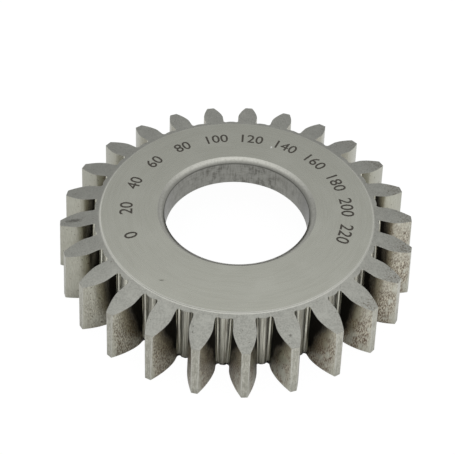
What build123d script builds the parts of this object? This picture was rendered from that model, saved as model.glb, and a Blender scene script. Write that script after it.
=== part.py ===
from build123d import *
import os
from math import acos, asin, atan, cos, pi, radians, sqrt, sin, tan

# Disk-type gear shaper cutter, one piece of high speed steel, in millimetres.
# It lies on the tips of its cutting edges in the plane Z = 0, with the bore axis on Z.
# +Z points to the back, the side that seats against the flange of the spindle.
# The first tooth is centred on the +X axis.

# Tooth system, as it is at the cutting edges
module = 4.0
tooth_count = 25
pressure_angle = 20.0
addendum_in_modules = 1.375
depth_in_modules = 2.5
thickness_share_of_pitch = 0.55

# Ground angles, in degrees
rake_angle = 5.0
tip_relief_angle = 6.0
flank_relief_angle = 2.25
back_bevel_angle = 10.0

# Body: the ledge is the rim between the back face and the tooth spaces,
# and the wall is the steel between the recess and the tooth spaces
overall_height = 19.7
back_ledge_width = 1.8
back_edge_chamfer = 0.2
recess_wall = 10.5

# Bore, with a crowned lead-in at the back and a plain chamfer in the recess
bore_diameter = 44.443
hub_width = 10.0
bore_lead_width = 2.0
bore_lead_depth = 1.45
bore_lead_radius = 5.5
bore_front_chamfer = 0.85

# Recess in the cutting side, which takes the clamping nut
recess_corner_chamfer = 1.0
recess_mouth_chamfer = 0.5

# Floor of a tooth space: a low round crown between two round grooves, which
# undercut the feet of the flanks a little
root_groove_radius = 0.8
root_undercut = 0.02
floor_crown_height = 0.4
floor_crown_width = 3.2

# Sizes that follow from those above
circular_pitch = pi * module
pitch_radius = module * tooth_count / 2
tip_radius = pitch_radius + addendum_in_modules * module
root_radius = tip_radius - depth_in_modules * module
bore_radius = bore_diameter / 2
recess_radius = root_radius - recess_wall
hub_face_height = overall_height - hub_width
rake_slope = tan(radians(rake_angle))
tip_slope = tan(radians(tip_relief_angle))
back_slope = tan(radians(back_bevel_angle))

# The rake and the tip relief distort what the edges generate, so the flanks are
# involutes of a slightly smaller base circle than the pressure angle alone gives.
profile_angle = atan(tan(radians(pressure_angle)) / (1 - rake_slope * tip_slope))
base_radius = pitch_radius * cos(profile_angle)
flank_start_radius = max(base_radius, root_radius + root_groove_radius)

# The bevel of the back is a cone with its apex on the axis. It starts at the chamfer of
# the back face and ends at the tips, where it crosses the cone of the tip relief.
back_face_radius = root_radius - tip_slope * overall_height - back_ledge_width
bevel_start_height = overall_height - back_edge_chamfer
bevel_apex_height = bevel_start_height + back_slope * back_face_radius
tip_radius_at_back = (tip_radius - tip_slope * bevel_apex_height) / (1 - tip_slope * back_slope)
tip_height_at_back = bevel_apex_height - back_slope * tip_radius_at_back

# Each tooth space is modelled this far past the blank, so that it cuts right through.
overrun = module / 5


def involute_angle(angle):
    return tan(angle) - angle


def polar_point(radius, angle):
    return (radius * cos(angle), radius * sin(angle))


def tooth_thickness(z):
    """Thickness on the pitch circle at height z, which falls towards the back."""
    relief = 2 * z * tan(radians(flank_relief_angle)) / cos(profile_angle)
    return thickness_share_of_pitch * circular_pitch - relief


def half_space_angle(radius, z):
    """Angle from the middle of a tooth space to its flank."""
    half_tooth_angle = tooth_thickness(z) / (2 * pitch_radius) + involute_angle(profile_angle)
    return pi / tooth_count - half_tooth_angle + involute_angle(acos(base_radius / radius))


def turned_blank():
    """The solid of revolution, with its bore, recess, rake cone and tip relief."""
    mouth_radius = recess_radius + recess_mouth_chamfer
    mouth_height = rake_slope * (tip_radius - mouth_radius)
    lead_bottom = (bore_radius, overall_height - bore_lead_depth)
    lead_top = (bore_radius + bore_lead_width, overall_height)
    outline = Polyline(
        lead_top,
        (back_face_radius - back_edge_chamfer, overall_height),
        (back_face_radius, bevel_start_height),
        (tip_radius_at_back, tip_height_at_back),
        (tip_radius, 0),
        (mouth_radius, mouth_height),
        (recess_radius, mouth_height + recess_mouth_chamfer),
        (recess_radius, hub_face_height - recess_corner_chamfer),
        (recess_radius - recess_corner_chamfer, hub_face_height),
        (bore_radius + bore_front_chamfer, hub_face_height),
        (bore_radius, hub_face_height + bore_front_chamfer),
        lead_bottom,
    )
    lead_in = RadiusArc(lead_bottom, lead_top, bore_lead_radius)
    section = make_face(outline + lead_in)
    return revolve(Plane.XZ * section, Axis.Z)


def flank(z, side, count=4, spacing=0.7):
    """Involute from its foot to past the tips, on side +1 or -1 of a space, at height z.

    Four points, spaced like this over the roll angle, keep it true to 0.02 mm.
    """
    start_roll = sqrt((flank_start_radius / base_radius) ** 2 - 1)
    end_roll = sqrt(((tip_radius + overrun) / base_radius) ** 2 - 1)
    points = []
    for step in range(count):
        roll = start_roll + (end_roll - start_roll) * (step / (count - 1)) ** spacing
        radius = base_radius * sqrt(1 + roll**2)
        points.append(polar_point(radius, side * half_space_angle(radius, z)))
    return Spline(*points)


def groove_centre(z, side):
    """Radius and angle of the middle of a root groove at height z."""
    radius = root_radius - floor_crown_height - tip_slope * z + root_groove_radius
    wall_angle = half_space_angle(flank_start_radius, z)
    angle = wall_angle - asin((root_groove_radius - root_undercut) / radius)
    return radius, side * angle


def space_section(z):
    """Outline of a tooth space at height z, with its middle on +X, without its grooves."""
    wall_angle = half_space_angle(flank_start_radius, z)
    edges = Curve()
    corners = []
    ends = []
    for side in (1, -1):
        centre_radius, centre_angle = groove_centre(z, side)
        floor_radius = centre_radius - root_groove_radius + root_undercut
        corner = polar_point(floor_radius, centre_angle)
        wall_bottom = polar_point(centre_radius, side * wall_angle)
        involute = flank(z, side)
        edges += Polyline(corner, wall_bottom, involute @ 0)
        edges += involute
        corners.append(corner)
        ends.append(involute @ 1)
    edges += Line(*corners)
    edges += ThreePointArc(ends[0], (tip_radius + overrun, 0), ends[1])
    return Plane.XY.offset(z) * make_face(edges)


def rod(radius, start, end):
    """Round bar between the middles of its two ends."""
    along = Vector(end) - Vector(start)
    bar = Cylinder(radius, along.length, align=(Align.CENTER, Align.CENTER, Align.MIN))
    return Plane(origin=start, z_dir=along) * bar


def tooth_space():
    """The steel that is ground out between two teeth.

    Its flanks turn evenly with height, opposite ways, so each is a ruled surface.
    """
    bottom = -overrun
    top = overall_height + overrun
    space = loft([space_section(bottom), space_section(top)], ruled=True)
    for side in (1, -1):
        ends = [(*polar_point(*groove_centre(z, side)), z) for z in (bottom, top)]
        space += rod(root_groove_radius, *ends)
    crown_radius = (floor_crown_width**2 / 4 + floor_crown_height**2) / (2 * floor_crown_height)
    ends = [(root_radius - tip_slope * z - crown_radius, 0, z) for z in (bottom, top)]
    space -= rod(crown_radius, *ends)
    return Rot(0, 0, 180 / tooth_count) * space


def shaper_cutter():
    spaces = [turn * tooth_space() for turn in PolarLocations(0, tooth_count)]
    return turned_blank() - spaces


os.makedirs("parts", exist_ok=True)
cutter = shaper_cutter()
cutter.label = "shaper_cutter"
export_step(cutter, "parts/shaper_cutter.step")
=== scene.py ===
from math import asin, atan, cos, hypot, pi, radians, sin, tan

import bmesh
import bpy
from mathutils import Matrix, Vector
from mathutils.geometry import delaunay_2d_cdt


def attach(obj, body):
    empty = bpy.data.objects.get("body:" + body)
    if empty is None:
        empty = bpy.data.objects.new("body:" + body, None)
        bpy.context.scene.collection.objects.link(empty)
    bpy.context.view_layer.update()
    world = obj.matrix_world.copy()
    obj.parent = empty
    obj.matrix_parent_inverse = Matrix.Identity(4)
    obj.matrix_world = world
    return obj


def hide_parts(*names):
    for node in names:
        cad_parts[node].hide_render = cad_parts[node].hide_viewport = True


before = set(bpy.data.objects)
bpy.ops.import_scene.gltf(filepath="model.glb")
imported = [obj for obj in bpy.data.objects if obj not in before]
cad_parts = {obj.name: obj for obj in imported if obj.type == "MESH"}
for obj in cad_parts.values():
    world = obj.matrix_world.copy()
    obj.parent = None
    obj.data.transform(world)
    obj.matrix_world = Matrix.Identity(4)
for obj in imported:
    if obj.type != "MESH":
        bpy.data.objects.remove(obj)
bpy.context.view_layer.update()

MM = 0.001

# Tooth system, in millimetres and degrees, as it is at the cutting edges in the plane Z = 0
module = 4.0
tooth_count = 25
pressure_angle = 20.0
thickness_share_of_pitch = 0.55
tip_radius = 55.5
root_radius = 45.5

# Ground angles, in degrees
rake_angle = 5.0
tip_relief_angle = 6.0
flank_relief_angle = 2.25
back_bevel_angle = 10.0

# What follows from them, by the same rule as in the part's source
rake_slope = tan(radians(rake_angle))
tip_slope = tan(radians(tip_relief_angle))
back_slope = tan(radians(back_bevel_angle))
profile_angle = atan(tan(radians(pressure_angle)) / (1 - rake_slope * tip_slope))
flank_slope = tan(radians(flank_relief_angle)) / cos(profile_angle)
pitch_radius = module * tooth_count / 2
pitch_thickness = thickness_share_of_pitch * pi * module
base_radius = pitch_radius * cos(profile_angle)

# Body, in millimetres
height = 19.7
ledge_width = 1.8
rim_radius = root_radius - tip_slope * height - ledge_width
rim_chamfer = 0.2
back_apex = height - rim_chamfer + back_slope * rim_radius
bore_diameter = 44.443
bore_radius = bore_diameter / 2
hub_width = 10.0
hub_height = height - hub_width
lead_in_width = 2.0
lead_in_depth = 1.45
lead_in_arc = 5.5
bore_top = height - lead_in_depth
bore_chamfer = 0.85
recess_wall = 10.5
recess_radius = root_radius - recess_wall
recess_chamfer = 1.0
mouth_chamfer = 0.5
mouth_radius = recess_radius + mouth_chamfer
mouth_height = rake_slope * (tip_radius - mouth_radius)

# Floor of a tooth space, in millimetres: a low crown between two round grooves. A higher
# power gives the crown a fuller top.
groove_radius = 0.8
groove_depth = 0.4
groove_floor = root_radius - groove_depth
groove_top = groove_floor + groove_radius
crown_height = 0.32
crown_power = 3

# Rounding of the edges and the strips beside them, in millimetres. The middle of a rounding
# lies at a share of its radius from both sides.
cutting_edge = 0.04
back_edge = 0.1
edge_margin = 0.3
# Width over which the painted highlight along an edge fades out
highlight_fade_width = 0.5
middle_share = 0.3
# Share of painted highlight on the rounded edges of the rake face and the back
edge_highlight_share = 0.5


# Arithmetic on node sockets


class Field:
    """A number worked out by nodes. Plain arithmetic on it adds the nodes."""

    def __init__(self, tree, socket):
        self.tree = tree
        self.socket = socket

    def __add__(self, other):
        return calc(self.tree, "ADD", self, other)

    __radd__ = __add__

    def __sub__(self, other):
        return calc(self.tree, "SUBTRACT", self, other)

    def __rsub__(self, other):
        return calc(self.tree, "SUBTRACT", other, self)

    def __mul__(self, other):
        return calc(self.tree, "MULTIPLY", self, other)

    __rmul__ = __mul__

    def __truediv__(self, other):
        return calc(self.tree, "DIVIDE", self, other)

    def __rtruediv__(self, other):
        return calc(self.tree, "DIVIDE", other, self)

    def __abs__(self):
        return calc(self.tree, "ABSOLUTE", self)


def connect(tree, value, socket):
    """Give a socket a field, another node's socket or a plain value."""
    if isinstance(value, Field):
        tree.links.new(value.socket, socket)
    elif isinstance(value, bpy.types.NodeSocket):
        tree.links.new(value, socket)
    elif value is not None:
        socket.default_value = value


def calc(tree, operation, *values):
    """One step of arithmetic."""
    node = tree.nodes.new("ShaderNodeMath")
    node.operation = operation
    for value, socket in zip(values, node.inputs):
        connect(tree, value, socket)
    return Field(tree, node.outputs[0])


def higher(first, second):
    """The higher of two values."""
    return calc(first.tree, "MAXIMUM", first, second)


def between(share, low, high):
    """The value this share of the way from low to high."""
    return low + share * (high - low)


def over(value, low, high):
    """0 below low, 1 above high and smooth between, or the other way round."""
    inputs = {"Value": value, "From Min": low, "From Max": high}
    node = add_node(value.tree, "ShaderNodeMapRange", inputs, interpolation_type="SMOOTHSTEP")
    return Field(value.tree, node.outputs[0])


def add_node(tree, kind, inputs=None, **settings):
    """A node with its settings and its inputs, which are given by name."""
    node = tree.nodes.new(kind)
    for name, value in settings.items():
        setattr(node, name, value)
    for name, value in (inputs or {}).items():
        connect(tree, value, node.inputs[name])
    return node


def new_object(name, data):
    """Object that shows a mesh, a curve, a lamp or a lens in the scene."""
    item = bpy.data.objects.new(name, data)
    bpy.context.scene.collection.objects.link(item)
    return item


# The pattern of one tooth pitch. Each of its points holds values that say where it lies by the
# rule of the teeth, and the node tree puts it there.

point_values = (
    "radius",  # in the plane Z = 0, in millimetres
    "relief",  # share of the tip relief that it follows on its way up
    "level",  # share of the height, from the rake face to the back
    "inset",  # millimetres from the flank, towards the middle of the space
    "across",  # share of the way there from the middle of the space
    "to_tooth",  # share of the way on from there to the middle of the tooth
    "lift",  # millimetres above its level
    "turned",  # 1 on a turned surface, where the height is given
    "height",
    "worn",  # painted highlight along an edge, from 0 to 1
)

# Steps along the outline of half a pitch, from the middle of a space to the middle of a tooth
crown_steps = 6
groove_steps = 6
flank_steps = 12
land_steps = 4
inner_steps = crown_steps + groove_steps + land_steps

# The points of a flank lie closer at its foot, and stop a few tenths of a millimetre under the tip
flank_crowding = 1.6
flank_stop = 0.4

# Columns of the outline where the groove ends and where the corner of the tip starts
groove_end_column = crown_steps + groove_steps
corner_column = groove_end_column + flank_steps + 3

# Steps up the side of the teeth and down the lead-in, and rows that round the edge of the back
side_steps = 7
lead_in_steps = 6
back_edge_rows = 3


def point(radius, relief, inset, across=1.0, to_tooth=0.0, worn=0.0):
    """Values of a point of the outline."""
    return {
        "radius": radius,
        "relief": relief,
        "inset": inset,
        "across": across,
        "to_tooth": to_tooth,
        "worn": worn,
    }


def shares(count, start=0.0, end=1.0):
    """Evenly spaced values from start to end, this many steps apart."""
    return [start + (end - start) * step / count for step in range(count + 1)]


def corner_points(offset, edge):
    """Rounded corner between the flank and the land of the tip."""
    if offset >= edge:
        return [point(tip_radius - offset, 1, -offset)] * 3
    left = edge - offset
    corner = []
    for turn in (radians(angle) for angle in (0, 45, 90)):
        radius = tip_radius - edge + left * sin(turn)
        corner.append(point(radius, 1, left * cos(turn) - edge, worn=1))
    return corner


def outline(offset, edge=back_edge):
    """Points from the middle of a space to the middle of a tooth, this far inside the steel."""
    points = []
    for share in shares(crown_steps)[:-1]:
        crown = crown_height * (1 - share**crown_power)
        points.append(point(groove_floor + crown - offset, 1, groove_radius, across=share))
    reach = groove_radius + offset
    for angle in shares(groove_steps, 0, pi / 2):
        radius = groove_top - reach * cos(angle)
        points.append(point(radius, 1, groove_radius - reach * sin(angle)))
    points.append(point((groove_top + base_radius) / 2, 0.5, -offset))
    flank_depth = tip_radius - base_radius
    last = (tip_radius - flank_stop - base_radius) / flank_depth
    for share in shares(flank_steps):
        along = last * share**flank_crowding
        points.append(point(base_radius + along * flank_depth, along, -offset))
    points += corner_points(offset, edge)
    for share in shares(land_steps)[1:]:
        points.append(point(tip_radius - offset, 1, -max(offset, edge), to_tooth=share))
    return points


def placed(points, level, lift=0.0, worn=0.0):
    """Points at a share of the height, raised a little, and worn at least this much."""
    return [dict(p, level=level, lift=lift, worn=max(p["worn"], worn)) for p in points]


def side_rows():
    """Rows up the side of the teeth, from the rake face round both edges to the back."""
    low = middle_share * cutting_edge
    high = middle_share * back_edge
    rows = [
        placed(outline(edge_margin), 0),
        placed(outline(cutting_edge), 0, 0, edge_highlight_share),
        placed(outline(low), 0, low, edge_highlight_share),
        placed(outline(0), 0, cutting_edge, edge_highlight_share),
        placed(outline(0), 0, highlight_fade_width),
    ]
    rows += [placed(outline(0), share) for share in shares(side_steps)[1:-1]]
    rows += [
        placed(outline(0), 1, -edge_margin),
        placed(outline(0), 1, -back_edge, edge_highlight_share),
        placed(outline(high), 1, -high, edge_highlight_share),
        placed(outline(back_edge), 1, 0, edge_highlight_share),
        placed(outline(edge_margin), 1),
    ]
    return rows


def tooth_rows(level):
    """Rows across the end of a tooth, from the foot of its flank to its tip."""
    ring = placed(outline(edge_margin), level)
    rows = []
    for column in range(groove_end_column, corner_column + 1):
        rows.append([dict(ring[column], to_tooth=share) for share in shares(land_steps)])
    return rows


def rim_rows(level, radius, steps):
    """Rows from the outline in to a circle, where the points are evenly spaced."""
    ring = placed(outline(edge_margin), level)[: groove_end_column + 1]
    ring += [dict(ring[-1], to_tooth=share) for share in shares(land_steps)[1:]]
    rows = []
    for share in shares(steps):
        row = []
        for start, place in zip(ring, shares(inner_steps)):
            end = dict(start, radius=radius, relief=0, inset=0, across=0, to_tooth=place)
            row.append({name: between(share, start[name], end[name]) for name in start})
        rows.append(row)
    return rows


def turned_row(radius, z):
    """Evenly spaced points on a turned surface."""
    start = dict(point(radius, 0, 0, across=0), level=0, lift=0, turned=1, height=z)
    return [dict(start, to_tooth=share) for share in shares(inner_steps)]


def turned_rows(*corners):
    """Rows through corners, each a radius, a height and the steps that lead to it."""
    rows = [turned_row(*corners[0][:2])]
    for start, end in zip(corners, corners[1:]):
        for share in shares(end[2])[1:]:
            radius = between(share, start[0], end[0])
            rows.append(turned_row(radius, between(share, start[1], end[1])))
    return rows


def lead_in_rows():
    """The crowned lead-in, from the back face down to the bore wall."""
    chord = hypot(lead_in_width, lead_in_depth)
    middle_slope = atan(lead_in_depth / lead_in_width)
    half_turn = asin(chord / 2 / lead_in_arc)
    to_centre = lead_in_arc * cos(half_turn)
    centre_radius = bore_radius + lead_in_width / 2 + to_centre * sin(middle_slope)
    centre_height = height - lead_in_depth / 2 - to_centre * cos(middle_slope)
    rows = []
    for turn in shares(lead_in_steps, -half_turn, half_turn):
        angle = middle_slope + turn
        radius = centre_radius - lead_in_arc * sin(angle)
        rows.append(turned_row(radius, centre_height + lead_in_arc * cos(angle)))
    return rows


def recess_rows():
    """The recess, from its mouth in the rake face over the hub to the bore wall."""
    return turned_rows(
        (mouth_radius, mouth_height, 0),
        (recess_radius, mouth_height + mouth_chamfer, 1),
        (recess_radius, hub_height - recess_chamfer, 3),
        (recess_radius - recess_chamfer, hub_height, 3),
        (bore_radius + bore_chamfer, hub_height, 4),
        (bore_radius, hub_height + bore_chamfer, 1),
    )


def sector_patches():
    """The patches of half a pitch, each with its rows and the zone of each face."""
    side = side_rows()

    def side_zone(row, column):
        if row >= len(side) - back_edge_rows:
            return "bevelled_rim"
        if row < 1:
            return "ground_rake"
        if column < groove_end_column:
            return "space_floor"
        return "tooth_flank" if column < corner_column else "tip_land"

    rim_corners = (rim_radius - rim_chamfer, height, 1), (rim_radius, height - rim_chamfer, 1)
    bore_corners = (bore_radius, hub_height + bore_chamfer, 0), (bore_radius, bore_top, 3)
    return [
        (side, side_zone),
        (tooth_rows(1), "bevelled_rim"),
        (tooth_rows(0)[::-1], "ground_rake"),
        (rim_rows(1, rim_radius, 3)[::-1], "bevelled_rim"),
        (rim_rows(0, mouth_radius, 5), "ground_rake"),
        (turned_rows(*rim_corners), "rim_edge"),
        (lead_in_rows()[::-1], "bore_lead_in"),
        (turned_rows(*bore_corners), "bore_wall"),
        (recess_rows(), "turned_recess"),
    ]


def add_patch(rows, zone, side, points, faces, zones):
    """Add the points, faces and zones of a patch, on side +1 or -1 of a space."""
    first = len(points)
    width = len(rows[0])
    points += [dict(p, side=side) for row in rows for p in row]
    for row in range(len(rows) - 1):
        for column in range(width - 1):
            low = first + row * width + column
            face = (low, low + 1, low + 1 + width, low + width)
            faces.append(face if side == 1 else face[::-1])
            zones.append(zone_number[zone(row, column) if callable(zone) else zone])


def pitch_pattern(materials):
    """Mesh of one pitch, which holds the values of its points and the zones of its faces."""
    points, faces, zones = [], [], []
    for rows, zone in sector_patches():
        for side in (1, -1):
            add_patch(rows, zone, side, points, faces, zones)
    mesh = bpy.data.meshes.new("pitch_pattern")
    # The tree moves every point, so here they only lie a little apart
    places = [(p["radius"], 0.01 * index, 0) for index, p in enumerate(points)]
    mesh.from_pydata(places, [], faces)
    for name in (*point_values, "side"):
        values = [float(p.get(name, 0)) for p in points]
        mesh.attributes.new(name, "FLOAT", "POINT").data.foreach_set("value", values)
    mesh.attributes.new("zone", "FLOAT", "FACE").data.foreach_set("value", zones)
    for material in materials:
        mesh.materials.append(material)
    return mesh


# The node tree that turns the pattern into the ring of teeth

ring_sizes = {
    "Tip radius": tip_radius,
    "Base radius": base_radius,
    "Pitch radius": pitch_radius,
    "Pitch thickness": pitch_thickness,
    "Profile angle": profile_angle,
    "Flank relief": flank_slope,
    "Tip relief": tip_slope,
    "Rake": rake_slope,
    "Back bevel": back_slope,
    "Back apex": back_apex,
    "Burr": 0.03,
}
burr_seed = 7
seed_step = 1.7
burr_grains_per_mm = 1.6

# How near points have to lie to be welded, and lifts to count as equal, in millimetres
weld_distance = 0.002
lift_tolerance = 0.001


def new_tree(name, sizes):
    """Empty tree of geometry nodes with named inputs."""
    tree = bpy.data.node_groups.new(name, "GeometryNodeTree")
    interface = tree.interface
    interface.new_socket("Geometry", in_out="INPUT", socket_type="NodeSocketGeometry")
    interface.new_socket("Geometry", in_out="OUTPUT", socket_type="NodeSocketGeometry")
    for label, value in sizes.items():
        kind = "NodeSocketInt" if isinstance(value, int) else "NodeSocketFloat"
        interface.new_socket(label, in_out="INPUT", socket_type=kind).default_value = value
    return tree


def stored_value(tree, name):
    """A value that the pattern's points or faces hold."""
    node = add_node(tree, "GeometryNodeInputNamedAttribute", {"Name": name}, data_type="FLOAT")
    return Field(tree, next(s for s in node.outputs if s.enabled and s.name == "Attribute"))


def involute_angle(tree, radius, base):
    """Angle that an involute has turned through at a radius."""
    roll = calc(tree, "ARCCOSINE", base / higher(radius, base))
    return calc(tree, "TANGENT", roll) - roll


def point_place(tree, size):
    """Place of a point by the rule of the teeth, in millimetres."""
    value = {name: stored_value(tree, name) for name in (*point_values, "side")}
    relief = value["relief"] * size["Tip relief"]
    slope = between(value["level"], size["Rake"], size["Back bevel"])
    rise = between(value["level"], size["Rake"] * size["Tip radius"], size["Back apex"])
    ruled = (rise + value["lift"] - value["radius"] * slope) / (1 - relief * slope)
    z = between(value["turned"], ruled, value["height"])
    radius = value["radius"] - relief * z
    thickness = size["Pitch thickness"] - 2 * (z * size["Flank relief"])
    profile = size["Profile angle"]
    half_tooth = thickness / (2 * size["Pitch radius"]) + calc(tree, "TANGENT", profile) - profile
    half_pitch = pi / size["Teeth"]
    flank = half_pitch - half_tooth + involute_angle(tree, radius, size["Base radius"])
    from_space = value["across"] * (flank - value["inset"] / radius)
    angle = value["side"] * between(value["to_tooth"], from_space, half_pitch)
    x = radius * calc(tree, "COSINE", angle)
    y = radius * calc(tree, "SINE", angle)
    return add_node(tree, "ShaderNodeCombineXYZ", {"X": x, "Y": y, "Z": z}).outputs[0]


def repeated_round(tree, pitch, count):
    """One pitch repeated round the axis and welded.

    A tooth is centred on +X, so the middles of the spaces start half a pitch on.
    """
    stations = add_node(tree, "GeometryNodePoints", {"Count": count})
    index = Field(tree, tree.nodes.new("GeometryNodeInputIndex").outputs[0])
    turn = add_node(tree, "ShaderNodeCombineXYZ", {"Z": (index + 0.5) * (2 * pi / count)})
    rotation = add_node(tree, "FunctionNodeEulerToRotation", {"Euler": turn.outputs[0]})
    inputs = {"Points": stations.outputs[0], "Instance": pitch, "Rotation": rotation.outputs[0]}
    copies = add_node(tree, "GeometryNodeInstanceOnPoints", inputs)
    real = add_node(tree, "GeometryNodeRealizeInstances", {"Geometry": copies.outputs[0]})
    inputs = {"Geometry": real.outputs[0], "Distance": weld_distance}
    return add_node(tree, "GeometryNodeMergeByDistance", inputs).outputs[0]


def add_burr(tree, geometry, size):
    """The grinding burr, which leaves the edge of the rake face a little uneven."""
    grain = {"W": size["Seed"] * seed_step, "Scale": burr_grains_per_mm, "Detail": 3.0}
    noise = add_node(tree, "ShaderNodeTexNoise", grain, noise_dimensions="4D")
    edge_lift = middle_share * cutting_edge
    on_edge = calc(tree, "COMPARE", stored_value(tree, "lift"), edge_lift, lift_tolerance)
    push = (Field(tree, noise.outputs[0]) - 0.5) * size["Burr"] * on_edge
    offset = add_node(tree, "ShaderNodeCombineXYZ", {"Z": higher(push, 0.0)})
    inputs = {"Geometry": geometry, "Offset": offset.outputs[0]}
    return add_node(tree, "GeometryNodeSetPosition", inputs).outputs[0]


def dressed(tree, geometry, materials):
    """The geometry with each zone's material on its faces."""
    zone = stored_value(tree, "zone")
    for number, material in enumerate(materials):
        chosen = calc(tree, "COMPARE", zone, float(number), 0.5)
        inputs = {"Geometry": geometry, "Selection": chosen, "Material": material}
        geometry = add_node(tree, "GeometryNodeSetMaterial", inputs).outputs[0]
    return geometry


def ring_tree(materials):
    """Tree that places one pitch by the rule, repeats it round the axis and dresses it."""
    tree = new_tree("cutter_ring", {"Teeth": tooth_count, "Seed": burr_seed, **ring_sizes})
    group = tree.nodes.new("NodeGroupInput")
    size = {s.name: Field(tree, s) for s in group.outputs if s.name}
    inputs = {"Geometry": group.outputs[0], "Position": point_place(tree, size)}
    pitch = add_node(tree, "GeometryNodeSetPosition", inputs)
    ring = repeated_round(tree, pitch.outputs[0], size["Teeth"])
    inputs = {"Geometry": add_burr(tree, ring, size), "Scale": (MM, MM, MM)}
    scaled = add_node(tree, "GeometryNodeTransform", inputs)
    geometry = dressed(tree, scaled.outputs[0], materials)
    tree.links.new(geometry, tree.nodes.new("NodeGroupOutput").inputs[0])
    return tree


def plain_mesh(pattern, tree, name):
    """Run the tree on the pattern and keep what it makes as a plain mesh object."""
    source = new_object(name + "_pattern", pattern)
    modifier = source.modifiers.new("ring", "NODES")
    modifier.node_group = tree
    for item in tree.interface.items_tree:
        if item.in_out == "INPUT" and item.socket_type != "NodeSocketGeometry":
            modifier[item.identifier] = item.default_value
    evaluated = source.evaluated_get(bpy.context.evaluated_depsgraph_get())
    mesh = bpy.data.meshes.new_from_object(evaluated)
    source.modifiers.remove(modifier)
    bpy.data.objects.remove(source)
    for value in (*point_values, "side", "zone"):
        if value != "worn":
            mesh.attributes.remove(mesh.attributes[value])
    mesh.name = name
    return new_object(name, mesh)


# The back face, with its etched numbers

# A plain scale in degrees, with sizes in millimetres. The font's digits are a share of its size.
number_count = 12
degrees_per_number = 20
first_number_angle = radians(203.0)
digit_height = 4.1
digit_share_of_size = 0.73
digit_radius = 33.9
digit_depth = 0.04

# How far the strokes grow on each side, with a limit where a corner is very sharp
stroke_growth = 0.055
sharpest_corner = 0.4

# How near points have to lie to count as the same, in millimetres
circle_tolerance = 0.004
level_tolerance = 0.002
outline_tolerance = 1e-5
touching = 1e-6


def number_mesh(text):
    """The outlines of a number as a mesh of edges, standing on the origin."""
    curve = bpy.data.curves.new("number", "FONT")
    curve.body = text
    curve.align_x = "CENTER"
    curve.size = digit_height / digit_share_of_size
    curve.fill_mode = "NONE"
    curve.resolution_u = 3
    letters = new_object("number", curve)
    bpy.context.view_layer.update()
    mesh = bpy.data.meshes.new_from_object(letters)
    bpy.data.objects.remove(letters)
    bpy.data.curves.remove(curve)
    return mesh


def closed_loops(mesh):
    """The closed outlines that a mesh's edges form, each as a list of points."""
    links = {}
    for edge in mesh.edges:
        a, b = edge.vertices
        links.setdefault(a, []).append(b)
        links.setdefault(b, []).append(a)
    loops = []
    while links:
        current = next(iter(links))
        loop = []
        while current in links:
            loop.append(tuple(mesh.vertices[current].co.xy))
            ahead = [v for v in links.pop(current) if v in links]
            if ahead:
                current = ahead[0]
        loops.append(loop)
    return loops


def goes_round(loop, spot):
    """Whether a closed outline goes round a spot."""
    inside = False
    for (x1, y1), (x2, y2) in zip(loop, loop[1:] + loop[:1]):
        if (y1 > spot.y) != (y2 > spot.y) and spot.x < (x2 - x1) * (spot.y - y1) / (y2 - y1) + x1:
            inside = not inside
    return inside


def is_inside(loops, spot):
    """Whether a spot is inside what the outlines enclose, and not in a hole of it."""
    return sum(goes_round(loop, spot) for loop in loops) % 2 == 1


def bolder(loop, hole):
    """A closed outline with its strokes grown a little, so that a hole closes up as much."""
    turned = sum(x1 * y2 - x2 * y1 for (x1, y1), (x2, y2) in zip(loop, loop[1:] + loop[:1]))
    reach = stroke_growth if (turned > 0) != hole else -stroke_growth
    points = [Vector(p) for p in loop]
    steps = zip(points[-1:] + points, points)
    points = [here for before, here in steps if (here - before).length > stroke_growth]
    grown = []
    for before, here, after in zip(points[-1:] + points[:-1], points, points[1:] + points[:1]):
        arrive = (here - before).normalized()
        leave = (after - here).normalized()
        outwards = Vector((arrive.y + leave.y, -arrive.x - leave.x))
        grown.append(tuple(here + outwards * (reach / max(sharpest_corner, 1 + arrive.dot(leave)))))
    return grown


def number_outlines(text):
    """Closed outlines of a number with full strokes, standing on the origin."""
    mesh = number_mesh(text)
    loops = closed_loops(mesh)
    bpy.data.meshes.remove(mesh)
    bold = []
    for loop in loops:
        others = [other for other in loops if other is not loop]
        bold.append(bolder(loop, is_inside(others, Vector(loop[0]))))
    return bold


def etched_outlines():
    """Outlines of the whole scale, set round the bore with its tops outwards."""
    outlines = []
    for index in range(number_count):
        number = index * degrees_per_number
        angle = first_number_angle - radians(number)
        for loop in number_outlines(str(number)):
            placed_loop = []
            for x, y in loop:
                radius = digit_radius - digit_height / 2 + y
                turn = angle - x / digit_radius
                placed_loop.append((radius * cos(turn), radius * sin(turn)))
            outlines.append(placed_loop)
    return outlines


def circle_of(ring, radius):
    """Vertices of the ring's circle of this radius on the back, in order of angle."""
    found = []
    for vertex in ring.verts:
        x, y, z = vertex.co / MM
        if abs(z - height) < level_tolerance and abs(hypot(x, y) - radius) < circle_tolerance:
            found.append(vertex)
    return sorted(found, key=lambda v: Vector((v.co.x, v.co.y)).angle_signed(Vector((1, 0))))


def flat_faces(loops):
    """Faces that fill the plane between outlines, their points, and where each comes from."""
    flat = [p for loop in loops for p in loop]
    edges = []
    start = 0
    for loop in loops:
        edges += [(start + i, start + (i + 1) % len(loop)) for i in range(len(loop))]
        start += len(loop)
    points, _, faces, sources, _, _ = delaunay_2d_cdt(flat, edges, [], 0, outline_tolerance)
    return points, faces, sources


def border(faces):
    """Edges that only one of the faces has, in the direction of its corners."""
    edges = {}
    for face in faces:
        for a, b in zip(face, face[1:] + face[:1]):
            if edges.pop((b, a), None) is None:
                edges[(a, b)] = True
    return list(edges)


def vertex_maker(ring, points, known):
    """Function that finds or makes the vertex of a point, on the back face or sunk below it."""
    made = {}

    def vertex(index, sunk):
        if index in known and not sunk:
            return known[index]
        if (index, sunk) not in made:
            z = height - (digit_depth if sunk else 0)
            place = (points[index].x * MM, points[index].y * MM, z * MM)
            made[index, sunk] = ring.verts.new(place)
        return made[index, sunk]

    return vertex


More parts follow.
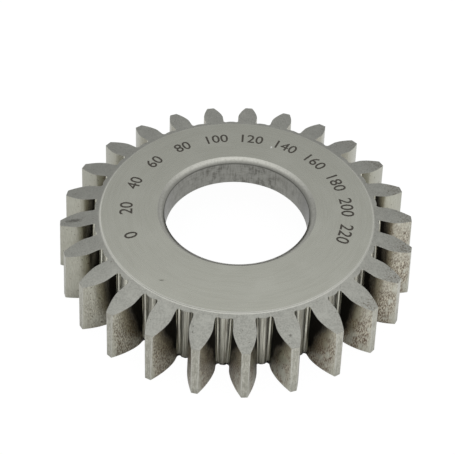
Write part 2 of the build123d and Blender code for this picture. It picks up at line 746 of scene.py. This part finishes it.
def add_back_face(piece):
    """Close the ring with its flat back face, which carries the etched numbers."""
    ring = bmesh.new()
    ring.from_mesh(piece.data)
    outer = circle_of(ring, rim_radius - rim_chamfer)
    inner = circle_of(ring, bore_radius + lead_in_width)
    etched = etched_outlines()
    loops = [[v.co.xy / MM for v in circle] for circle in (outer, inner)]
    loops += [[Vector(p) for p in loop] for loop in etched]
    points, faces, sources = flat_faces(loops)
    on_circle = dict(enumerate(outer + inner))
    known = {i: on_circle[s] for i, found in enumerate(sources) for s in found if s in on_circle}
    vertex = vertex_maker(ring, points, known)
    sunk_faces = []
    for face in faces:
        if all(known.get(i) in inner for i in face):
            continue
        centre = sum((points[i] for i in face), Vector((0, 0))) / len(face)
        sunk = is_inside(etched, centre)
        if sunk:
            sunk_faces.append(face)
        new_face = ring.faces.new([vertex(i, sunk) for i in face])
        new_face.material_index = zone_number["etched_digits" if sunk else "ground_back"]
    for a, b in border(sunk_faces):
        corners = (b, True), (a, True), (a, False), (b, False)
        wall = ring.faces.new([vertex(*corner) for corner in corners])
        wall.material_index = zone_number["etched_digits"]
    bmesh.ops.remove_doubles(ring, verts=ring.verts, dist=touching * MM)
    bmesh.ops.recalc_face_normals(ring, faces=ring.faces)
    ring.to_mesh(piece.data)
    ring.free()


# Finishes. Sizes and places are in millimetres: on the cutter as it lies before the camera,
# x grows to the right and y away from the camera.

# Colours of the painted highlights along the corners of the teeth and the edge of the back face,
# and of the dark film with painted shade at the roots
corner_highlight_colour = (0.62, 0.62, 0.57)
rim_highlight_colour = (0.72, 0.72, 0.66)
dark_film_and_shade = (0.009, 0.0075, 0.005)
film_gloss = 0.1

# Radius at which the lines of a ground ring are as long as their run says
ring_run_radius = 40

# Dark marks on the tops of the teeth: where each is and how far it reaches
tooth_top_marks = (
    (-49.0, -6.4, 3.0, 0.9),
    (-11.1, -47.5, 0.35, 0.5),
    (-11.0, -45.8, 0.3, 0.4),
    (15.1, -47.4, 0.6, 0.5),
)


class Finish:
    """A finish on the steel: its shader, and the place on the cutter in millimetres."""

    def __init__(self, name, metallic=1.0):
        self.material = bpy.data.materials.new(name)
        self.material.use_nodes = True
        self.tree = self.material.node_tree
        self.shader = self.tree.nodes["Principled BSDF"]
        self.shader.inputs["Metallic"].default_value = metallic
        place = self.tree.nodes.new("ShaderNodeTexCoord").outputs["Object"]
        parts = add_node(self.tree, "ShaderNodeSeparateXYZ", {"Vector": place})
        self.x, self.y, self.z = (Field(self.tree, s) * (1 / MM) for s in parts.outputs)
        self.radius = calc(self.tree, "SQRT", self.x * self.x + self.y * self.y)
        self.turn = calc(self.tree, "ARCTAN2", self.y, self.x)
        self.colour = None

    def grain(self, size, shape=None, detail=3.0, seed=0.0):
        """Noise from about 0 to 1, with grains of a size along x, y and z or three other ways."""
        ways = shape or (self.x, self.y, self.z)
        sizes = size if isinstance(size, tuple) else (size, size, size)
        scaled = [way * (1 / length) for way, length in zip(ways, sizes)]
        place = add_node(self.tree, "ShaderNodeCombineXYZ", dict(zip("XYZ", scaled)))
        inputs = {"Vector": place.outputs[0], "W": float(seed), "Scale": 1.0, "Detail": detail}
        noise = add_node(self.tree, "ShaderNodeTexNoise", inputs, noise_dimensions="4D")
        return Field(self.tree, noise.outputs[0])

    def rings(self, pitch, run, seed=0.0):
        """Fine lines round the axis, a pitch apart, each as long as the run."""
        cosine = calc(self.tree, "COSINE", self.turn) * ring_run_radius
        sine = calc(self.tree, "SINE", self.turn) * ring_run_radius
        return self.grain((pitch, run, run), (self.radius, cosine, sine), 2.0, seed)

    def worn(self):
        """Uneven painted highlight along the corners of the teeth, falling to 0 beside them."""
        node = add_node(self.tree, "ShaderNodeAttribute", attribute_name="worn")
        uneven = over(self.grain(1.4, seed=8), 0.38, 0.62)
        return Field(self.tree, node.outputs["Fac"]) * between(uneven, 0.35, 1.0)

    def gleam(self):
        """Strength of the painted highlight along the edge of the back face: less on the right and
        on the far side.
        """
        right = over(self.x, 20.0, 42.0) * 0.45
        far = over(self.y, -5.0, 32.0) * 0.75
        return 1.0 - higher(right, far)

    def mark(self, x, y, length, width):
        """A small uneven mark at a place, as a share from 0 to 1."""
        away_x = (self.x - x) / length
        away_y = (self.y - y) / width
        away = calc(self.tree, "SQRT", away_x * away_x + away_y * away_y)
        uneven = away + (self.grain(0.35, seed=4) - 0.5) * 2.5
        return over(uneven, 1.0, 0.3)

    def paint(self, colour, share=None):
        """Start with a colour, or lay a colour over a share of what is there."""
        colour = (*colour, 1.0)
        if self.colour is None:
            self.colour = colour
            return
        node = self.tree.nodes.new("ShaderNodeMix")
        node.data_type = "RGBA"
        connect(self.tree, share, node.inputs["Factor"])
        low, high = [s for s in node.inputs if s.enabled and s.type == "RGBA"]
        connect(self.tree, self.colour, low)
        connect(self.tree, colour, high)
        self.colour = next(s for s in node.outputs if s.enabled)

    def done(self, roughness, relief=None, depth=0.0, bare=None):
        """Set the colour, the roughness, the relief in millimetres and the share of bare steel."""
        connect(self.tree, self.colour, self.shader.inputs["Base Color"])
        connect(self.tree, roughness, self.shader.inputs["Roughness"])
        if bare is not None:
            connect(self.tree, bare, self.shader.inputs["Metallic"])
            self.shader.inputs["Specular IOR Level"].default_value = film_gloss
        if relief is not None:
            bump = add_node(self.tree, "ShaderNodeBump", {"Height": relief, "Distance": depth * MM})
            self.tree.links.new(bump.outputs[0], self.shader.inputs["Normal"])
        return self.material


def ground_back():
    """Warm grey face, ground in rings, with a scratch, a small bare spot and a painted highlight
    along its outer edge.
    """
    finish = Finish("ground_back")
    lines = finish.rings(0.12, 6.0)
    bands = finish.rings(0.7, 14.0, seed=6)
    cloud = finish.grain(9.0, detail=2.0, seed=1)
    edge = over(finish.radius, rim_radius - 0.5, rim_radius - rim_chamfer) * finish.gleam()
    scratch = finish.mark(-20.6, -30.6, 1.3, 0.3)
    bare_spot = finish.mark(10.8, 29.6, 0.35, 0.9)
    finish.paint((0.47, 0.475, 0.42))
    finish.paint((0.42, 0.422, 0.37), over(lines, 0.35, 0.75) * 0.55)
    finish.paint((0.4, 0.402, 0.35), over(bands, 0.45, 0.62) * 0.3)
    finish.paint((0.5, 0.505, 0.45), over(cloud, 0.45, 0.75) * 0.5)
    # Painted highlight along the outer edge of the back face
    finish.paint(rim_highlight_colour, edge * 0.8)
    finish.paint((0.1, 0.095, 0.08), scratch * 0.7)
    finish.paint((0.9, 0.9, 0.88), bare_spot * 0.9)
    return finish.done(0.24 + lines * 0.08, lines, 0.0015)


def bevelled_rim():
    """Cooler, matt grey, mottled with fine specks and a few pits, stained on the right, with
    painted shade on the left front and right back, painted light beside the front and painted
    highlights along its edges.
    """
    finish = Finish("bevelled_rim")
    specks = finish.grain(0.45, detail=4.0)
    cloud = finish.grain(3.5, detail=3.0, seed=2)
    pits = finish.grain(0.5, detail=2.0, seed=3)
    edge = over(finish.radius, rim_radius + 0.5, rim_radius) * finish.gleam()
    finish.paint((0.415, 0.417, 0.38))
    finish.paint((0.24, 0.244, 0.22), over(specks, 0.4, 0.62) * 0.5)
    finish.paint((0.48, 0.485, 0.44), over(cloud, 0.5, 0.7) * 0.5)
    finish.paint((0.09, 0.082, 0.065), over(pits, 0.63, 0.7) * over(cloud, 0.52, 0.4))
    # Painted shade on the left front and on the right back
    painted_shade_left = over(finish.x, -20.0, -42.0) * over(finish.y, -32.0, -8.0)
    painted_shade_right = over(finish.x, 12.0, 28.0) * over(finish.y, 18.0, 30.0)
    finish.paint((0.3, 0.303, 0.28), higher(painted_shade_left, painted_shade_right) * 0.35)
    # Painted light beside the front, on both sides
    beside_front = over(abs(finish.x), 12.0, 24.0)
    finish.paint((0.62, 0.623, 0.57), over(finish.y, -15.0, -32.0) * beside_front * 0.13)
    stained = over(finish.x, 20.0, 45.0) * over(finish.radius, 47.0, 51.0)
    finish.paint((0.13, 0.1, 0.07), stained * over(pits, 0.5, 0.62) * 0.6)
    for mark in tooth_top_marks:
        finish.paint((0.07, 0.065, 0.055), finish.mark(*mark) * 0.6)
    # Painted highlight beside the edge of the back face
    finish.paint(rim_highlight_colour, edge * 0.8)
    # Painted highlight along the corners of the teeth
    finish.paint(corner_highlight_colour, finish.worn() * 0.3)
    return finish.done(0.42 + specks * 0.1, specks, 0.006)


def rim_edge():
    """Edge of the back face, with a painted highlight."""
    finish = Finish("rim_edge")
    finish.paint((0.42, 0.425, 0.38))
    # Painted highlight, weaker on the right and on the far side
    finish.paint((0.93, 0.93, 0.86), finish.gleam())
    return finish.done(0.4)


def tip_land():
    """Ground land along the tip of a tooth, with a painted highlight at its corners."""
    finish = Finish("tip_land")
    lines = finish.grain((0.25, 0.25, 3.0), detail=3.0)
    specks = finish.grain(0.35, detail=4.0, seed=6)
    cloud = finish.grain(2.5, detail=3.0, seed=2)
    finish.paint((0.55, 0.546, 0.48))
    finish.paint((0.32, 0.315, 0.265), over(lines, 0.42, 0.6) * 0.65)
    finish.paint((0.26, 0.25, 0.2), over(specks, 0.5, 0.64) * 0.5)
    finish.paint((0.3, 0.29, 0.24), over(cloud, 0.5, 0.66) * 0.45)
    # Painted highlight along the corners
    finish.paint(corner_highlight_colour, finish.worn() * 0.8)
    return finish.done(0.32, lines, 0.003)


def paint_flank_steel(finish, lines, cloud, near_back):
    """Ground lines along the tooth, painted shade on the left and far sides and towards the tips of
    the front teeth, and a thin olive film towards the root that is partly painted shade.
    """
    # Painted shade on the left front and on the far side
    painted_shade_left = over(finish.x, -15.0, -35.0) * over(finish.y, -38.0, -15.0) * 0.4
    painted_shade = higher(painted_shade_left, over(finish.y, 2.0, 14.0) * 0.65)
    # Painted shade towards the tips of the front teeth
    front_tip_shade = over(finish.radius, 51.0, 54.5) * over(finish.y, -45.0, -20.0) * 0.4
    # Olive film, partly painted shade between the teeth: held back near the back and the rake face,
    # stronger on the front teeth
    held_back_near_faces = near_back * 3 + over(finish.z, 8.0, 2.0) * 4
    film_and_shade = over(finish.radius + (cloud - 0.5) * 5 + held_back_near_faces, 53.0, 48.0)
    in_front = over(abs(finish.x), 22.0, 6.0)
    finish.paint((0.61, 0.605, 0.52))
    finish.paint((0.42, 0.41, 0.33), over(lines, 0.42, 0.6) * 0.6)
    finish.paint((0.37, 0.375, 0.325), painted_shade)
    finish.paint((0.44, 0.435, 0.375), front_tip_shade)
    finish.paint((0.29, 0.255, 0.18), film_and_shade * between(in_front, 0.32, 0.48))


def paint_flank_specks(finish):
    """Clusters of brown and pale specks, reddish on the right, and a few dark dots.

    Gives the share of brown specks, from 0 to 1.
    """
    clusters = finish.grain((2.2, 2.2, 3.5), detail=3.0, seed=5)
    specks = finish.grain((0.26, 0.26, 0.9), detail=3.0, seed=3)
    dots = finish.grain((0.6, 0.6, 0.8), detail=1.0, seed=11)
    crowded = over(finish.x, 0.0, -20.0) * 0.13
    cleared = over(finish.x, 18.0, 13.0) * over(finish.x, 2.0, 8.0) * 0.1
    clusters = clusters + over(finish.y, -34.0, -44.0) * (crowded - cleared)
    speckled = over(clusters, 0.33, 0.5) * over(finish.radius, 54.9, 53.4)
    low_down = between(over(finish.z, 18.0, 8.0), 0.5, 1.0)
    stained_side = between(over(finish.x - finish.y, -32.0, 24.0), 0.1, 1.0)
    spotted = speckled * low_down * stained_side * over(finish.y, 9.0, -7.0)
    tanned = over(finish.x - finish.y, -5.0, 22.0) * 0.4
    brown = over(specks, 0.46, 0.57) * spotted
    redder = over(finish.x, -30.0, 5.0)
    finish.paint((0.51, 0.45, 0.35), spotted * tanned)
    finish.paint((0.1, 0.085, 0.06), over(dots, 0.67, 0.71) * 0.8)
    finish.paint((0.125, 0.082, 0.042), brown * (1.0 - redder) * 0.85)
    finish.paint((0.14, 0.067, 0.034), brown * redder * 0.72)
    finish.paint((0.72, 0.66, 0.51), over(specks, 0.43, 0.36) * spotted * 0.7)
    return brown


def paint_flank_root(finish, lines, cloud, near_back):
    """Dark film and painted shade at the root, with a brown fringe: lighter low down and a little
    on the left, and near the back lighter on the far teeth and darker on the front teeth.

    Gives the share of dark film and painted shade, from 0 to 1.
    """
    # Painted shade: less near the rake face and near the back of the far teeth, more near the back
    # of the front teeth, less on the left
    lighter_near_faces = over(finish.z, 8.0, 1.5) * 2.8 + near_back * over(finish.y, 0.0, 25.0) * 2.8
    darker_on_front_teeth = near_back * between(over(finish.y, -15.0, -55.0), -2.2, 3.6)
    uneven = (cloud - 0.5) * 1.2 + (lines - 0.5) * 1.8
    left = over(finish.x, -10.0, -28.0) * 0.5
    clear_of_root = finish.radius + uneven + (lighter_near_faces - darker_on_front_teeth) + left
    root = over(clear_of_root, 49.1, 46.9)
    # Brown fringe and dark film at the root, both partly painted shade
    finish.paint((0.095, 0.068, 0.034), over(clear_of_root, 50.4, 48.0) * 0.5)
    finish.paint(dark_film_and_shade, root)
    return root


def tooth_flank():
    """Ground flank: clean along the tip, specked in the middle and darkened at the root by a film
    and painted shade.
    """
    finish = Finish("tooth_flank")
    lines = finish.grain((0.25, 0.25, 2.0), detail=4.0)
    cloud = finish.grain((2.5, 2.5, 5.0), detail=3.0, seed=2)
    near_back = over(finish.z, 9.0, 17.5)
    paint_flank_steel(finish, lines, cloud, near_back)
    brown = paint_flank_specks(finish)
    root = paint_flank_root(finish, lines, cloud, near_back)
    # Painted highlight along the corners
    finish.paint(corner_highlight_colour, finish.worn() * 0.35)
    bare = 1.0 - higher(root, brown * 0.75)
    return finish.done(between(root, 0.24 + cloud * 0.1, 0.75), lines, 0.004, bare)


def space_floor():
    """Floor of a tooth space, scored along by the wheel that ground it, with a dark burr and
    painted shade in the grooves at its sides.
    """
    finish = Finish("space_floor")
    along = (finish.turn * root_radius, finish.z)
    lines = finish.grain((0.17, 16.0), along, 5.0)
    scores = finish.grain((0.3, 60.0), along, 1.0, seed=7)
    cloud = finish.grain((1.0, 1.0, 6.0), detail=3.0, seed=2)
    rough = finish.grain(0.6, detail=3.0, seed=4)
    pitches = finish.turn * (tooth_count / (2 * pi)) + tooth_count
    from_middle = abs(calc(finish.tree, "FRACT", pitches) - 0.5)
    across = from_middle * (2 * pi * root_radius / tooth_count)
    low_down = over(finish.z, 16.0, 9.0)
    marked = between(over(finish.x, -15.0, -30.0), 0.7, 0.2)
    finish.paint((0.84, 0.835, 0.735))
    finish.paint((0.3, 0.293, 0.24), over(lines, 0.42, 0.58) * marked)
    finish.paint((0.21, 0.2, 0.16), over(scores, 0.47, 0.57) * marked)
    finish.paint((0.28, 0.26, 0.21), over(cloud, 0.5, 0.7) * 0.5)
    # Painted shade in the grooves at the sides of the floor, lower down
    groove_shade = over(across, 2.0, 2.35) * low_down
    burr = over(finish.z + (rough - 0.5) * 5 - across * 0.3, 1.3, 0.7)
    film_and_shade = higher(groove_shade, burr)
    # Dark film over the burr, and painted shade in the grooves
    finish.paint(dark_film_and_shade, film_and_shade)
    # Painted highlight along the edges
    finish.paint(corner_highlight_colour, finish.worn() * 0.3)
    polish = between(over(across, 1.4, 1.6), 0.45, 0.28)
    return finish.done(between(film_and_shade, polish, 0.75), lines, 0.006, 1.0 - film_and_shade)


def bore_lead_in():
    """Crowned lead-in, bright at its top, with painted shade that darkens it down towards the bore,
    a painted dark line where it meets the bore, and painted light on the front side.
    """
    finish = Finish("bore_lead_in")
    cloud = finish.grain(0.7, detail=4.0)
    finish.paint((0.58, 0.58, 0.53))
    finish.paint((0.4, 0.395, 0.355), over(cloud, 0.42, 0.65) * 0.5)
    finish.paint((0.42, 0.42, 0.385), over(finish.z, height - 0.45, height - 0.05) * 0.5)
    # Painted shade that darkens it down towards the bore, and a painted dark line where it meets
    # the bore
    finish.paint((0.3, 0.3, 0.27), over(finish.z, height - 0.4, bore_top + 0.35) * 0.6)
    finish.paint((0.1, 0.1, 0.09), over(finish.z, bore_top + 0.3, bore_top + 0.1) * 0.65)
    # Painted light on the front side
    finish.paint((0.9, 0.9, 0.84), over(finish.y, -8.0, -18.0) * 0.22)
    return finish.done(0.3, cloud, 0.004)


def bore_wall():
    """Honed bore, with blotches and streaks that run along it, painted shade on the right and a
    painted dark line along its top.
    """
    finish = Finish("bore_wall")
    blotch = finish.grain((1.6, 1.6, 2.6), detail=5.0)
    patches = finish.grain((6.0, 6.0, 9.0), detail=1.0, seed=9)
    streaks = finish.grain((0.3, 0.3, 3.0), detail=4.0, seed=3)
    hatching = finish.grain((3.0, 3.0, 0.25), detail=3.0, seed=6)
    spread = between(over(finish.y, 15.0, 21.5), 0.45, 1.0)
    smeared = between(over(patches, 0.42, 0.58), 0.45, 0.85) * spread
    broken_up = between(over(streaks, 0.4, 0.58), 0.25, 1.0)
    shaded_right = over(finish.x, 16.0, 20.5) * over(finish.y, 12.0, 6.0)
    finish.paint((0.31, 0.31, 0.284))
    finish.paint((0.1, 0.098, 0.085), over(blotch, 0.4, 0.58) * broken_up * smeared)
    finish.paint((0.18, 0.176, 0.156), over(streaks, 0.46, 0.62) * 0.35)
    finish.paint((0.43, 0.43, 0.4), over(hatching, 0.48, 0.64) * 0.4)
    finish.paint((0.17, 0.17, 0.155), shaded_right * 0.8)
    # Painted dark line along the top, where the bore meets the lead-in
    finish.paint((0.1, 0.1, 0.09), over(finish.z, bore_top - 0.3, bore_top) * 0.6)
    return finish.done(0.28, blotch, 0.002)


def ground_rake():
    """Cutting face, ground in rings."""
    finish = Finish("ground_rake")
    lines = finish.rings(0.15, 8.0, seed=5)
    finish.paint((0.52, 0.515, 0.475))
    finish.paint((0.4, 0.395, 0.36), over(lines, 0.35, 0.75) * 0.6)
    return finish.done(0.26, lines, 0.002)


def turned_recess():
    """Turned recess, darker than the ground faces."""
    finish = Finish("turned_recess")
    lines = finish.grain((0.18, 30.0, 0.18), (finish.radius, finish.turn, finish.z), 2.0)
    cloud = finish.grain(6.0, detail=3.0, seed=2)
    finish.paint((0.34, 0.335, 0.31))
    finish.paint((0.24, 0.235, 0.215), over(lines, 0.35, 0.7) * 0.6)
    finish.paint((0.2, 0.185, 0.16), over(cloud, 0.5, 0.8) * 0.5)
    return finish.done(0.38, lines, 0.008)


def etched_digits():
    """Dark, dull bottom and walls of the etched numbers."""
    finish = Finish("etched_digits", metallic=0.0)
    grain = finish.grain(0.3)
    finish.paint((0.05, 0.042, 0.032))
    finish.paint((0.1, 0.09, 0.07), over(grain, 0.45, 0.8))
    return finish.done(0.65)


# Zones of the surface, each named after its finish, in the order of the materials
finishes = (
    ground_back,
    bevelled_rim,
    tip_land,
    tooth_flank,
    space_floor,
    bore_lead_in,
    bore_wall,
    ground_rake,
    turned_recess,
    etched_digits,
    rim_edge,
)
zone_number = {finish.__name__: number for number, finish in enumerate(finishes)}


# Stage, light and camera, in metres

floor_half_width = 4.0
overhead_place = (0, 0.05, 0.8)
overhead_width = 0.5
overhead_power = 0.2

# The camera looks at the origin, and is then turned a few degrees about its own axes
camera_elevation = radians(46.2322)
camera_azimuth = radians(-90.647)
camera_distance = 0.27865
camera_turns = (("up", 0.5755), ("right", 1.6164), ("back", 2.3228))
camera_lens = 68.59
camera_sensor = 36.0


def floor_material():
    """Pale floor, white to the camera, which shines in the steel only clear of the cutter, as
    painted shade round it, and more brightly towards the right, as painted light.
    """
    material = bpy.data.materials.new("studio_floor")
    material.use_nodes = True
    tree = material.node_tree
    tree.nodes.clear()
    light_path = tree.nodes.new("ShaderNodeLightPath")
    place = tree.nodes.new("ShaderNodeTexCoord").outputs["Object"]
    from_middle = add_node(tree, "ShaderNodeVectorMath", {0: place}, operation="LENGTH")
    radius = Field(tree, from_middle.outputs["Value"])
    # Painted shade: the floor does not shine in the steel round the teeth and under the body
    clear_of_steel = higher(over(radius, 0.047, 0.062), over(radius, 0.032, 0.022))
    aside = Field(tree, add_node(tree, "ShaderNodeSeparateXYZ", {"Vector": place}).outputs["X"])
    # Painted light: the floor shines brighter in the steel towards the right
    level = 0.435 + over(aside, -0.06, 0.08) * 0.29
    seen = Field(tree, light_path.outputs["Is Camera Ray"]) * 0.93
    mirrored = Field(tree, light_path.outputs["Is Glossy Ray"]) * clear_of_steel * level
    white = add_node(tree, "ShaderNodeEmission", {"Color": (1, 1, 1, 1), "Strength": 1.05})
    card = add_node(tree, "ShaderNodeBsdfDiffuse", {"Color": (0.85, 0.85, 0.85, 1)})
    mixed = add_node(tree, "ShaderNodeMixShader", {"Fac": higher(seen, mirrored)})
    tree.links.new(card.outputs[0], mixed.inputs[1])
    tree.links.new(white.outputs[0], mixed.inputs[2])
    out = tree.nodes.new("ShaderNodeOutputMaterial")
    tree.links.new(mixed.outputs[0], out.inputs["Surface"])
    return material


def studio_floor():
    """Flat square floor under the cutter."""
    half = floor_half_width
    mesh = bpy.data.meshes.new("studio_floor")
    corners = [(-half, -half, 0), (half, -half, 0), (half, half, 0), (-half, half, 0)]
    mesh.from_pydata(corners, [], [(0, 1, 2, 3)])
    mesh.materials.append(floor_material())
    floor = new_object("studio_floor", mesh)


def studio_world():
    """Pale surroundings, a little brighter higher up, and white where the camera sees them."""
    world = bpy.data.worlds.new("studio")
    bpy.context.scene.world = world
    world.use_nodes = True
    tree = world.node_tree
    tree.nodes.clear()
    direction = tree.nodes.new("ShaderNodeTexCoord")
    parts = add_node(tree, "ShaderNodeSeparateXYZ", {"Vector": direction.outputs["Generated"]})
    aside, behind, up = (Field(tree, s) for s in parts.outputs)
    ceiling = over(up, 0.55, 0.8) * 0.38
    top_light = over(up, 0.74, 0.84) * 0.14
    dark_front = over(behind, -0.1, -0.6) * 0.25
    middle = over(abs(aside), 0.35, 0.0) * over(up, 0.62, 0.5) * 0.05
    back_wall = over(behind, 0.3, 0.9) * over(up, 0.45, 0.2) * 0.1
    level = 0.46 + ceiling + top_light + aside * 0.05 - dark_front + middle + back_wall
    camera = Field(tree, tree.nodes.new("ShaderNodeLightPath").outputs["Is Camera Ray"])
    strength = between(camera, level, 1.0)
    shade = add_node(tree, "ShaderNodeBackground", {"Color": (1, 1, 1, 1), "Strength": strength})
    out = tree.nodes.new("ShaderNodeOutputWorld")
    tree.links.new(shade.outputs[0], out.inputs["Surface"])


def overhead_light():
    """Soft square lamp that hangs over the cutter and points at its middle."""
    lamp = bpy.data.lights.new("overhead", "AREA")
    lamp.shape = "RECTANGLE"
    lamp.size = overhead_width
    lamp.size_y = overhead_width
    lamp.energy = overhead_power
    box = new_object("overhead", lamp)
    box.location = overhead_place
    to_middle = Vector((0, 0, 0)) - Vector(overhead_place)
    box.rotation_euler = to_middle.to_track_quat("-Z", "Y").to_euler()


def photo_camera():
    """Camera that looks down at the bore, turned a little off it as in the picture."""
    flat = cos(camera_elevation)
    back = Vector((flat * cos(camera_azimuth), flat * sin(camera_azimuth), sin(camera_elevation)))
    right = Vector((-sin(camera_azimuth), cos(camera_azimuth), 0))
    up = back.cross(right)
    place = back * camera_distance
    for axis, angle in camera_turns:
        turn = Matrix.Rotation(radians(angle), 3, {"up": up, "right": right, "back": back}[axis])
        right, up, back = turn @ right, turn @ up, turn @ back
    lens = bpy.data.cameras.new("camera")
    lens.lens = camera_lens
    lens.sensor_width = camera_sensor
    lens.clip_start = 0.01
    camera = new_object("camera", lens)
    camera.matrix_world = Matrix((
        (right.x, up.x, back.x, place.x),
        (right.y, up.y, back.y, place.y),
        (right.z, up.z, back.z, place.z),
        (0, 0, 0, 1),
    ))
    bpy.context.scene.camera = camera


studio_floor()
studio_world()
overhead_light()
photo_camera()
bpy.context.scene.view_settings.view_transform = "Standard"

# Faces that meet at more than this angle show a sharp edge
sharp_angle = radians(20)

materials = [finish() for finish in finishes]
cutter = plain_mesh(pitch_pattern(materials), ring_tree(materials), "cutter")
add_back_face(cutter)
cutter.data.shade_smooth()
cutter.data.set_sharp_from_angle(angle=sharp_angle)
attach(cutter, "root")
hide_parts("shaper_cutter")
